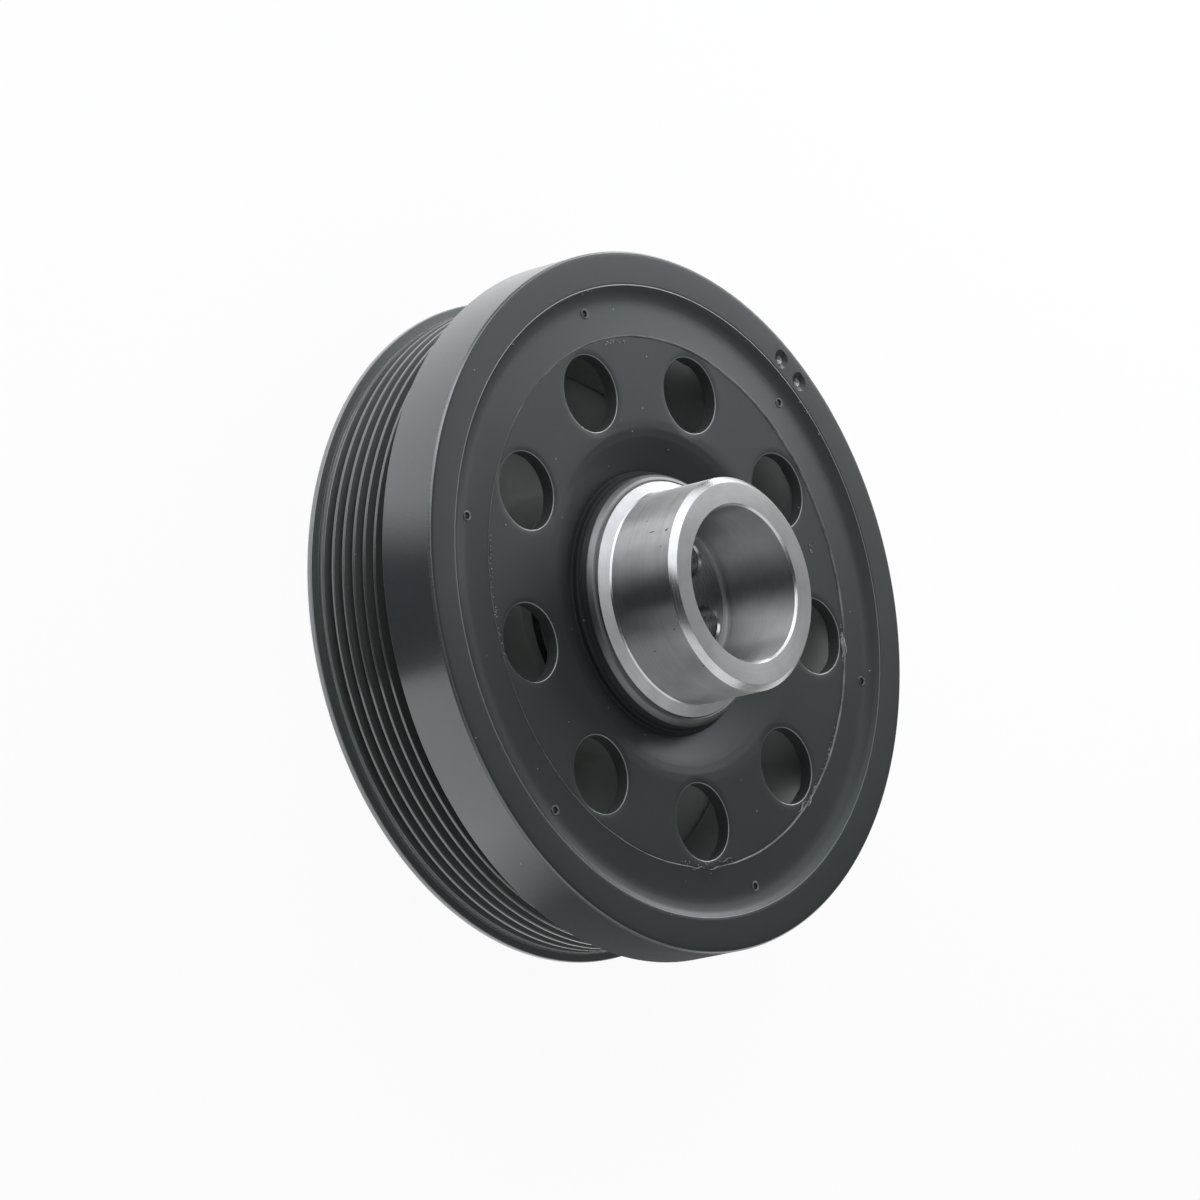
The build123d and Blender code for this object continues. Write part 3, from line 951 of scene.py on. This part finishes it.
class BALANCER_OT_damper(bpy.types.Operator):
    """Builds the damper rubber with its front skin, bead and pin marks"""

    bl_idname = "balancer.damper"
    bl_label = "Damper rubber"

    def execute(self, context):
        sizes = context.scene.balancer_rubber
        ring_sizes = context.scene.balancer_ring
        colours = context.scene.balancer_colours
        paint = tuple(colours.paint)
        materials = [
            # Paint over the moulded skin: a little paler than on steel
            sprayed_paint("painted_rubber_skin", toned(paint, 1.28), 0.35, 0.4),
            # The bead, smoother from the mould
            sprayed_paint("painted_rubber_bead", toned(paint, 1.35), 0.2, 0.36),
            # Bare rubber inside: soft and nearly black
            moulded_rubber("bare_damper_rubber", linear("#2A2B2C"), 0.55),
            # The skin's torn edge on the web: a pale uneven line, torn rubber with a painted highlight on its
            # raised lip
            moulded_rubber("pale_torn_edge_and_highlight", linear("#666A6C"), 0.38, 0.5),
            # Thin paint along the bead's crest, with a painted highlight: a fine light line
            sprayed_paint("thin_paint_and_highlight_bead_edge", linear("#6A7072"), 0.2, 0.32, 0.6),
        ]
        skin, bead, bare, torn, foot = range(5)
        mesh = bmesh.new()
        recess = ring_sizes.recess_radius
        bore = ring_sizes.bore_radius
        rim = DISC_HIGH[0]
        low = RUBBER_LOW[2]
        wall = recess - 0.45 * MM
        valley = wall - 4.2 * MM
        pin_circle = bore - 1.0 * MM
        # The skin's edge stands up from the web, and from there it sags to the valley beside the bead
        foot_z = WEB_Z - 0.3 * MM
        lip_z = WEB_Z + 0.36 * MM
        start_z = lip_z - 0.1 * MM
        dip = FACE_Z - sizes.skin_sag
        join = 0.02 * MM
        outline = rounded([
            (sizes.skin_radius, foot_z, 0, torn),
            (sizes.skin_radius, WEB_Z + 0.04 * MM, 0.05 * MM, (torn, torn)),
            (sizes.skin_radius + 0.3 * MM, lip_z, 0.16 * MM, (torn, skin)),
            (sizes.skin_radius + 0.7 * MM, start_z, 0.3 * MM, skin),
            (pin_circle - 3.0 * MM, (start_z + dip) / 2, 20 * MM, skin),
            (valley, dip, 9 * MM, skin),
            (wall - 1.4 * MM, FACE_Z - 0.95 * MM, 3.2 * MM, bead),
            # The bead's crest carries the thin paint with its painted highlight
            (wall, FACE_Z + 0.02 * MM, 0.22 * MM, (foot, foot)),
            (wall + 0.2 * MM, FACE_Z - 0.08 * MM, 0.05 * MM, bead),
            (recess - join, FACE_Z - 0.04 * MM, 0, bare),
            (recess - join, FACE_Z - RECESS_DEPTH + 0.1 * MM, 0, bare),
            (bore - join, FACE_Z - RECESS_DEPTH - 0.1 * MM, 0, bare),
            (bore - join, low, 0, bare),
            (rim + 3.0 * MM, low + 0.9 * MM, 2.5 * MM, bare),
            (rim + join, low, 0, bare),
            (rim + join, WEB_Z - 3.5 * MM, 0, bare),
            (sizes.skin_radius, foot_z, 0, bare),
        ])
        pins = [radians((43.1 + 60 * k) % 360) for k in range(6)]
        half = radians(1.3)
        angles = angles_with_sectors(pins, half, 6, radians(1.0))
        # The pins' sectors lie between these radii, on the rising part of the outline
        band_in = pin_circle - 1.6 * MM
        band_out = pin_circle + 1.6 * MM
        upper = outline[: next(i for i, p in enumerate(outline) if p[0] > wall - 0.7 * MM)]
        rising = [p for i, p in enumerate(upper) if i == 0 or p[0] > upper[i - 1][0]]
        inner_part = [p for p in upper if p[0] < band_in] + [(band_in, height_at(rising, band_in), skin)]
        outer_part = [(band_out, height_at(rising, band_out), skin)]
        outer_part += [p for i, p in enumerate(outline) if i >= len(upper) or p[0] > band_out]
        middle_part = [(band_in, height_at(rising, band_in), skin)]
        middle_part += [p for p in upper if band_in < p[0] < band_out]
        middle_part.append((band_out, height_at(rising, band_out), skin))

        def pinned(angle):
            """Whether a face that starts at this angle lies in a pin's sector."""
            past_start = [(angle - pin + half + pi) % (2 * pi) - pi for pin in pins]
            return any(-ANGLE_SLACK < past < 2 * half - ANGLE_SLACK for past in past_start)

        turn_outline(mesh, inner_part, angles)
        turn_outline(mesh, outer_part, angles)
        turn_outline(mesh, middle_part, angles, skip=pinned)
        for middle in pins:
            lip = sizes.pin_radius + 0.5 * MM
            ring, centre = holed_sector(
                mesh, middle, half, 6, (band_in, band_out), 6,
                (lip, pin_circle), lambda r: height_at(rising, r), skin, 5,
            )
            # A raised ring with a shallow dimple in it, whose middle stands up again
            steps = [
                (sizes.pin_radius + 0.3 * MM, -0.2 * MM),
                (sizes.pin_radius + 0.12 * MM, -0.24 * MM),
                (sizes.pin_radius - 0.08 * MM, -0.02 * MM),
                (sizes.pin_radius - 0.2 * MM, 0.5 * MM),
                (sizes.pin_radius - 0.5 * MM, 0.2 * MM),
            ]
            # The ring's crest takes the torn edge's pale finish, which is partly a painted highlight
            last = sink_hole(mesh, ring, centre, steps, [skin, torn, torn, skin, skin])
            close_ring(mesh, last, bare)
        bmesh.ops.remove_doubles(mesh, verts=mesh.verts, dist=WELD)
        # The edge wanders in long and short waves, less and less up to this far into the skin
        wander_reach = 0.9 * MM
        for vertex in mesh.verts:
            r = hypot(vertex.co.x, vertex.co.y)
            if r < sizes.skin_radius + wander_reach and vertex.co.z > WEB_Z - 0.35 * MM:
                angle = atan2(vertex.co.y, vertex.co.x)
                wander = noise.noise(Vector((cos(angle) * 9, sin(angle) * 9, 3.1)))
                wander += 0.5 * noise.noise(Vector((cos(angle) * 40, sin(angle) * 40, 7.7)))
                # The skin was cut back in a shallow V beside the lowest hole
                notch = max(0, 1 - abs(angle + radians(91)) / radians(5.5))
                share = 1 - (r - sizes.skin_radius) / wander_reach
                moved = r + (wander * sizes.ragged + notch * 0.9 * MM) * share
                vertex.co.x *= moved / r
                vertex.co.y *= moved / r
        finish_piece(mesh, "moulded_damper_rubber", materials, ["damper_rubber"])

        # Crumbs of torn flash on the web: (first angle, last angle in degrees,
        # first radius, last radius in millimetres, count, size in millimetres)
        flash = bmesh.new()
        chance = random.Random(7)
        web_flash = (
            (92, 100.5, 66.9, 67.7, 16, 0.55),
            (165, 179, 67.3, 68.1, 20, 0.4),
            (180, 191, 67.2, 67.9, 16, 0.45),
            (-53, -30, 67.3, 68.0, 26, 0.4),
            (-99, -82, 67.0, 68.0, 14, 0.4),
            (-15, -6, 67.3, 67.9, 8, 0.45),
            (11.4, 13.8, 60.0, 63.2, 7, 0.6),
        )
        for first, last, near, far, count, size in web_flash:
            for _ in range(count):
                angle = radians(chance.uniform(first, last))
                r = chance.uniform(near, far) * MM
                add_crumb(flash, chance, (r * cos(angle), r * sin(angle), WEB_Z), size * MM)
        # Crumbs along the recess's edge: (first angle, last angle, count)
        for first, last, count in ((122, 129, 10), (31, 40, 10), (100.5, 103.5, 6)):
            for _ in range(count):
                angle = radians(chance.uniform(first, last))
                r = chance.uniform(80.9, 82.2) * MM
                add_crumb(flash, chance, (r * cos(angle), r * sin(angle), FACE_Z - 0.1 * MM), 0.35 * MM)
        # Curled strips: (first angle, last angle, radius, thickness)
        strips = (
            (-49.5, -46.0, 68.0, 0.3), (-13.5, -8.0, 67.6, 0.25), (-86.5, -82.0, 67.2, 0.2),
            (-55.5, -51.5, 67.5, 0.2), (-52.5, -48.2, 68.6, 0.55), (-13.0, -8.4, 68.6, 0.45),
            (-10.5, -7.6, 67.7, 0.4), (-96.5, -91.5, 68.7, 0.25), (-91.0, -85.5, 68.8, 0.22),
        )
        for first, last, r, thick in strips:
            add_curl(flash, radians(first), radians(last), r * MM, WEB_Z, thick * MM, 0.5 * MM)
        # Torn flash, stretched pale
        pale = moulded_rubber("pale_torn_flash", linear("#9A9E9F"), 0.5)
        finish_piece(flash, "torn_flash", [pale], [])
        return {"FINISHED"}


class BALANCER_OT_pulley(bpy.types.Operator):
    """Builds the belt pulley with its grooves and rear web"""

    bl_idname = "balancer.pulley"
    bl_label = "Belt pulley"

    def execute(self, context):
        sizes = context.scene.balancer_pulley
        colours = context.scene.balancer_colours
        paint = tuple(colours.paint)
        materials = [
            # Grooves' flanks: a dull dark grey, lighter than the black paint, painted light in the grooves
            sprayed_paint("black_paint_flanks", linear("#4C504D"), 0.6, 0.45),
            # Crests, rounded and glossy, painted lighter than the paint as a highlight: fine light lines
            sprayed_paint("glossy_paint_highlight_crests", toned(paint, 2.6), 0.5, 0.24, 1.0),
            # Inside: pale like the disc's, painted light for what shows through the holes
            sprayed_paint("pale_painted_light_pulley_inside", linear("#B7BCB7"), 0.3, 0.5),
            # The rear lip: a pale grey, a painted highlight of the floor's light
            sprayed_paint("painted_highlight_lip", linear("#868C8E"), 0.5, 0.34, 1.0),
            # Semi-gloss black on the back
            sprayed_paint("black_paint_back", paint, 0.4, 0.45),
        ]
        flank, crest_highlight, inside, lip_highlight, back = range(5)
        mesh = bmesh.new()
        lip = PULLEY_HIGH[0]
        crest = lip - 2.1 * MM
        width = PULLEY_HIGH[2]
        bore = ISOLATOR_HIGH[0]
        bush = BUSH_HIGH[0]
        half_floor = 0.31 * MM
        half_mouth = half_floor + sizes.groove_depth * tan(sizes.groove_angle / 2)
        web_back, web_front = 3.0 * MM, 7.0 * MM
        tube, tube_top = bush + 4.0 * MM, 24.0 * MM
        # The rear lip and the plain land behind the grooves
        corners = [
            (bore + 2.0 * MM, 0, 0, lip_highlight),
            (lip, 0, 1.0 * MM, lip_highlight),
            (lip, 1.9 * MM, 0.3 * MM, (lip_highlight, flank)),
            (crest + 0.05 * MM, 2.45 * MM, 0.1 * MM, crest_highlight),
            (crest + 0.05 * MM, 3.0 * MM, 0.08 * MM, (crest_highlight, flank)),
            (crest - 0.12 * MM, 3.15 * MM, 0.05 * MM, lip_highlight),
            (crest - 0.12 * MM, 3.6 * MM, 0.05 * MM, lip_highlight),
        ]
        first_groove = 5.54 * MM
        for i in range(sizes.groove_count):
            z = first_groove + i * sizes.groove_pitch
            corners += [
                (crest, z - half_mouth, 0.25 * MM, (crest_highlight, flank)),
                (crest - sizes.groove_depth, z - half_floor, 0.12 * MM, flank),
                (crest - sizes.groove_depth, z + half_floor, 0.12 * MM, flank),
                (crest, z + half_mouth, 0.25 * MM, (crest_highlight, crest_highlight)),
            ]
        corners += [
            (crest, width - 0.4 * MM, 0.1 * MM, flank),
            (crest - 0.4 * MM, width, 0.1 * MM, flank),
            (bore, width, 0.3 * MM, inside),
            (bore, web_front, 1.2 * MM, inside),
            (tube, web_front, 3.0 * MM, inside),
            (tube, tube_top, 0.3 * MM, inside),
            (bush, tube_top, 0.3 * MM, back),
            (bush, web_back, 0.8 * MM, back),
            (bore - 1.0 * MM, web_back, 1.0 * MM, back),
            (bore + 2.0 * MM, 0, 0, back),
        ]
        turn_outline(mesh, rounded(corners)[:-1], even_angles(0, 272), closed=True)
        finish_piece(mesh, "grooved_pulley", materials, ["belt_pulley"])
        return {"FINISHED"}


class BALANCER_OT_isolator(bpy.types.Operator):
    """Builds the isolator rubber and the plain bush inside the pulley"""

    bl_idname = "balancer.isolator"
    bl_label = "Isolator and bush"

    def execute(self, context):
        inner = DISC_HIGH[0]
        outer = ISOLATOR_HIGH[0]
        low, high = ISOLATOR_LOW[2], ISOLATOR_HIGH[2]
        middle = (inner + outer) / 2
        hollow = 1.2 * MM
        mesh = bmesh.new()
        outline = rounded([
            (inner, low, 0, 0),
            (inner, high, 0.1 * MM, 0),
            (middle, high - hollow, 3.0 * MM, 0),
            (outer, high, 0.1 * MM, 0),
            (outer, low, 0.1 * MM, 0),
            (middle, low + hollow, 3.0 * MM, 0),
        ])
        turn_outline(mesh, outline, even_angles(0, 240), closed=True)
        # Bare moulded rubber: matt and nearly black
        rubber = moulded_rubber("bare_isolator_rubber", linear("#262728"), 0.62)
        finish_piece(mesh, "isolator_ring", [rubber], ["isolator_rubber"])
        mesh = bmesh.new()
        bush = BUSH_HIGH[0]
        low, high = BUSH_LOW[2], BUSH_HIGH[2]
        outline = rounded([
            (BOSS_RADIUS, (low + high) / 2, 0, 0),
            (BOSS_RADIUS, high, 0.4 * MM, 0),
            (bush, high, 0.4 * MM, 0),
            (bush, low, 0.4 * MM, 0),
            (BOSS_RADIUS, low, 0.4 * MM, 0),
            (BOSS_RADIUS, (low + high) / 2 - 0.1 * MM, 0, 0),
        ])
        turn_outline(mesh, outline, even_angles(0, 180), closed=True)
        # Filled plastic: smooth dark grey with a soft shine
        plastic = moulded_rubber("filled_bush_plastic", linear("#3C3D3F"), 0.4)
        finish_piece(mesh, "plain_bush", [plastic], ["pulley_bush"])
        return {"FINISHED"}


class BALANCER_OT_stage(bpy.types.Operator):
    """Builds the floor, the lamps and the camera"""

    bl_idname = "balancer.stage"
    bl_label = "Stage"

    def execute(self, context):
        colours = context.scene.balancer_colours
        scene = context.scene
        scene.view_settings.view_transform = "Standard"

        # A floor 8 m wide, a hair below the part
        half_floor, gap = 4.0, 0.2 * MM
        data = bpy.data.meshes.new("studio_floor")
        mesh = bmesh.new()
        below = Matrix.Translation((0, 0, -gap))
        bmesh.ops.create_grid(mesh, x_segments=8, y_segments=8, size=half_floor, matrix=below)
        mesh.to_mesh(data)
        mesh.free()
        floor = bpy.data.objects.new("studio_floor", data)
        scene.collection.objects.link(floor)
        material, tree = start_material("white_studio_floor")
        # The floor shows nearly white, and mirrors as white, while it lights the part as a pale floor does.
        # What is left of the plain floor in the camera's view keeps the part's shadow
        seen_share = 0.94
        path = add_node(tree, "ShaderNodeLightPath").outputs
        either = {0: path["Is Glossy Ray"], 1: path["Is Transmission Ray"]}
        mirrored = add_node(tree, "ShaderNodeMath", either, operation="MAXIMUM")
        seen = add_node(tree, "ShaderNodeMath", {0: path["Is Camera Ray"], 1: seen_share}, operation="MULTIPLY")
        larger = {0: seen.outputs[0], 1: mirrored.outputs[0]}
        share = add_node(tree, "ShaderNodeMath", larger, operation="MAXIMUM")
        diffuse = add_node(tree, "ShaderNodeBsdfDiffuse", {"Color": tuple(colours.floor) + (1,)})
        glow = add_node(tree, "ShaderNodeEmission", {"Color": (1, 1, 1, 1), "Strength": 1.0})
        mix = {0: share.outputs[0], 1: diffuse.outputs[0], 2: glow.outputs[0]}
        mixed = add_node(tree, "ShaderNodeMixShader", mix)
        end_material(tree, mixed.outputs[0])
        data.materials.append(material)

        # Black cloths round the part, which only its shine shows, as the dark zones of the band and the nose.
        # Each card: its middle line, its first and last angle from there in degrees, the height of its far
        # edge, the angles between which it goes from clear to black, and the light that it still lets through
        cards = (
            ("left_card", 171, -20, 20, 0.3, -16, -4, 0.05),
            ("low_card", 262, -38, 38, 0.02, -34, -12, 0.12),
        )
        for name, middle, first, last, top, clear_at, black_at, least in cards:
            material, tree = start_material(name + "_cloth")
            place = add_node(tree, "ShaderNodeTexCoord").outputs["Object"]
            x, y, z = add_node(tree, "ShaderNodeSeparateXYZ", {0: place}).outputs
            turn = add_node(tree, "ShaderNodeMath", {0: y, 1: x}, operation="ARCTAN2").outputs[0]
            thinning = {"Value": turn, 1: radians(clear_at), 2: radians(black_at), 3: 1, 4: least}
            fade = add_node(tree, "ShaderNodeMapRange", thinning)
            clear = add_node(tree, "ShaderNodeBsdfTransparent")
            black = add_node(tree, "ShaderNodeBsdfDiffuse", {"Color": linear("#1A1A1A")})
            mix = {0: fade.outputs[0], 1: black.outputs[0], 2: clear.outputs[0]}
            mixed = add_node(tree, "ShaderNodeMixShader", mix)
            end_material(tree, mixed.outputs[0])
            mesh = bmesh.new()
            bend = [(0.095, 0.001, 0), (0.30, 0.001, 0), (0.32, top, 0)]
            angles = [radians(first + (last - first) * i / 12) for i in range(13)]
            turn_outline(mesh, bend, angles, skip=lambda angle: angle > radians(last) - ANGLE_SLACK)
            data = bpy.data.meshes.new(name)
            mesh.to_mesh(data)
            mesh.free()
            card = bpy.data.objects.new(name, data)
            scene.collection.objects.link(card)
            data.materials.append(material)
            card.rotation_euler = (0, 0, radians(middle))
            card.visible_camera = False
            card.visible_diffuse = False
            card.visible_shadow = False
            card.visible_transmission = False

        world = bpy.data.worlds.new("studio_air")
        scene.world = world
        world.use_nodes = True
        background = world.node_tree.nodes["Background"]
        background.inputs["Strength"].default_value = 1.0
        tree = world.node_tree
        place = add_node(tree, "ShaderNodeTexCoord").outputs["Generated"]
        # The room is pale behind the part, at +X, and below it in the picture, at -Y, and dark elsewhere
        pale = {0: place, 1: (0.28, -0.2, 0)}
        ahead = add_node(tree, "ShaderNodeVectorMath", pale, operation="MULTIPLY").outputs[0]
        lit = add_node(tree, "ShaderNodeVectorMath", {0: ahead, 1: (0, 0, 0)}, operation="MAXIMUM").outputs[0]
        depth = add_node(tree, "ShaderNodeVectorMath", {0: lit, 1: (1, 1, 1)}, operation="DOT_PRODUCT")
        wall = {0: linear("#FAFAF8")[:3], "Scale": depth.outputs["Value"]}
        tint = add_node(tree, "ShaderNodeVectorMath", wall, operation="SCALE")
        tree.links.new(tint.outputs[0], background.inputs["Color"])

        # Each lamp: its place and size in metres, and its power in watts
        lamps = (
            ("top_softbox", (0.26, 0.40, 0.38), (1.0, 0.45), 2.3),
            ("left_softbox", (-0.36, 0.58, 0.60), (0.75, 0.8), 3.4),
            ("side_softbox", (-0.27, 0.5, 0.2), (0.3, 0.3), 0.38),
            ("back_softbox", (0.5, 0.36, 0.16), (0.4, 0.26), 1.1),
            ("over_softbox", (-0.10, 0.0, 1.35), (0.9, 0.9), 1.5),
            ("low_softbox", (-0.15, -1.0, 0.75), (2.0, 0.8), 4.2),
        )
        for name, place, size, power in lamps:
            light = bpy.data.lights.new(name, "AREA")
            light.shape = "RECTANGLE"
            light.size, light.size_y = size
            light.color = linear("#F7F9FC")[:3]
            light.energy = power
            lamp = bpy.data.objects.new(name, light)
            lamp.location = place
            aim = Vector((0, 0, FACE_Z)) - Vector(place)
            lamp.rotation_euler = aim.to_track_quat("-Z", "Y").to_euler()
            lamp.visible_camera = False
            scene.collection.objects.link(lamp)

        data = bpy.data.cameras.new("photograph_camera")
        data.lens = CAMERA_LENS
        data.sensor_width = 36
        data.clip_start = 0.01
        camera = bpy.data.objects.new("photograph_camera", data)
        back = CAMERA_RIGHT.cross(CAMERA_UP)
        turn = Matrix((CAMERA_RIGHT, CAMERA_UP, back)).transposed()
        camera.matrix_world = Matrix.Translation(CAMERA_PLACE) @ turn.to_4x4()
        scene.collection.objects.link(camera)
        scene.camera = camera
        return {"FINISHED"}


class BALANCER_PT_panel(bpy.types.Panel):
    """Lists the steps that build the balancer"""

    bl_idname = "BALANCER_PT_panel"
    bl_label = "Balancer"
    bl_space_type = "VIEW_3D"
    bl_region_type = "UI"
    bl_category = "Balancer"

    def draw(self, context):
        layout = self.layout
        for operator in OPERATORS:
            layout.operator(operator.bl_idname)
        for name in SETTINGS:
            box = layout.box()
            group = getattr(context.scene, name)
            for field in group.__annotations__:
                box.prop(group, field)


SETTINGS = {
    "balancer_hub": HubSizes,
    "balancer_disc": DiscSizes,
    "balancer_ring": RingSizes,
    "balancer_rubber": RubberSizes,
    "balancer_pulley": PulleySizes,
    "balancer_colours": FinishColours,
}
OPERATORS = (
    BALANCER_OT_stage,
    BALANCER_OT_hub,
    BALANCER_OT_disc,
    BALANCER_OT_ring,
    BALANCER_OT_damper,
    BALANCER_OT_pulley,
    BALANCER_OT_isolator,
)


def register():
    for name, group in SETTINGS.items():
        bpy.utils.register_class(group)
        setattr(bpy.types.Scene, name, bpy.props.PointerProperty(type=group))
    for operator in OPERATORS:
        bpy.utils.register_class(operator)
    bpy.utils.register_class(BALANCER_PT_panel)


def unregister():
    bpy.utils.unregister_class(BALANCER_PT_panel)
    for operator in reversed(OPERATORS):
        bpy.utils.unregister_class(operator)
    for name, group in reversed(list(SETTINGS.items())):
        delattr(bpy.types.Scene, name)
        bpy.utils.unregister_class(group)


def main():
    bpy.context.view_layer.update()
    register()
    bpy.ops.balancer.stage()
    bpy.ops.balancer.hub()
    bpy.ops.balancer.disc()
    bpy.ops.balancer.ring()
    bpy.ops.balancer.damper()
    bpy.ops.balancer.pulley()
    bpy.ops.balancer.isolator()


if __name__ == "__main__":
    main()
